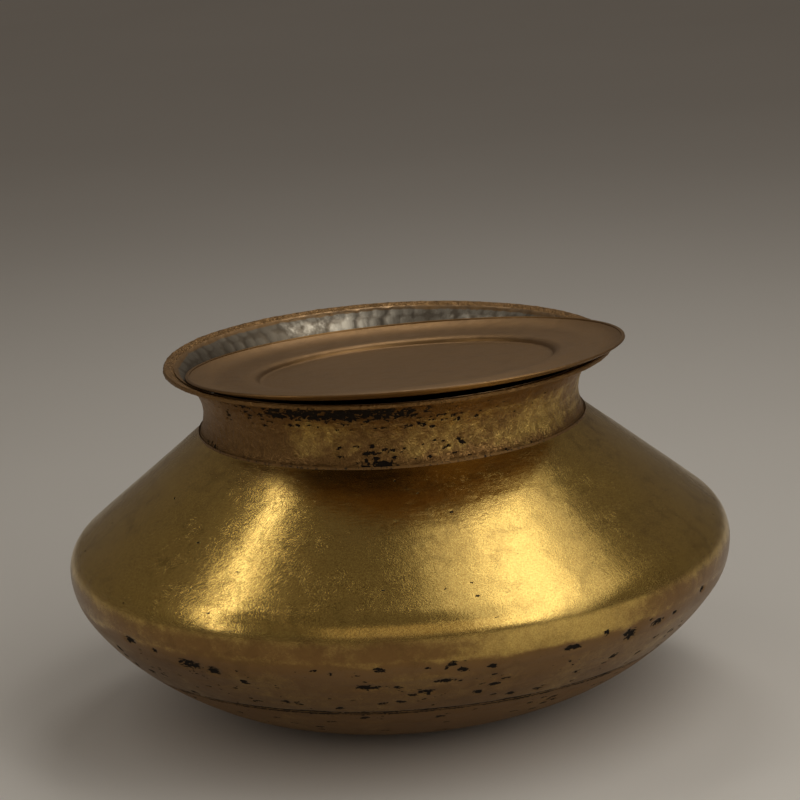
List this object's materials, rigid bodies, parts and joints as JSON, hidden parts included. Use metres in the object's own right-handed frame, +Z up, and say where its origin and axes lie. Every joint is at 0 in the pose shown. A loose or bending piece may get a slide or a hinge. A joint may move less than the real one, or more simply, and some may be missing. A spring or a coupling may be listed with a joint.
{
  "type": "lidded brass cooking pot",
  "caption": "Squat round-bottomed brass cooking pot with a narrow flared neck, tinned inside, and a loose shallow dished lid lying askew on its mouth.",
  "frame": {"origin": "middle of the flat that the pot stands on", "axes": "+Z up along the pot's axis; the lid's high side points to azimuth -66 degrees from +X, so the front is the -Y side"},
  "size_m": [0.4199, 0.42, 0.2399],
  "materials": {
    "brass_bottom": "hammered, smoke-darkened and pitted",
    "brass_belly": "hammered, worn smooth, golden with brown patina",
    "brass_neck": "hammered, with black pits under the rim",
    "brass_lid": "satin brown, wiped",
    "braze": "dark, rough, tarnished spelter",
    "tin": "grey wiped tin with rows of hammer facets",
    "iron_wire": "dark iron, inside the rolled rim"
  },
  "bodies": {
    "pot": {"bottom_bowl": "brass_bottom", "belly_shell": "brass_belly", "neck_collar": "brass_neck", "rim_wire": "iron_wire", "belly_seam_braze": "braze", "neck_seam_braze": "braze", "tin_lining": "tin"},
    "lid": {"lid": "brass_lid"}
  },
  "joints": [
    {"name": "lid_lift", "type": "slide", "parent": "pot", "child": "lid", "axis": [0, 0, 1], "range_m": [0, 0.25]}
  ]
}
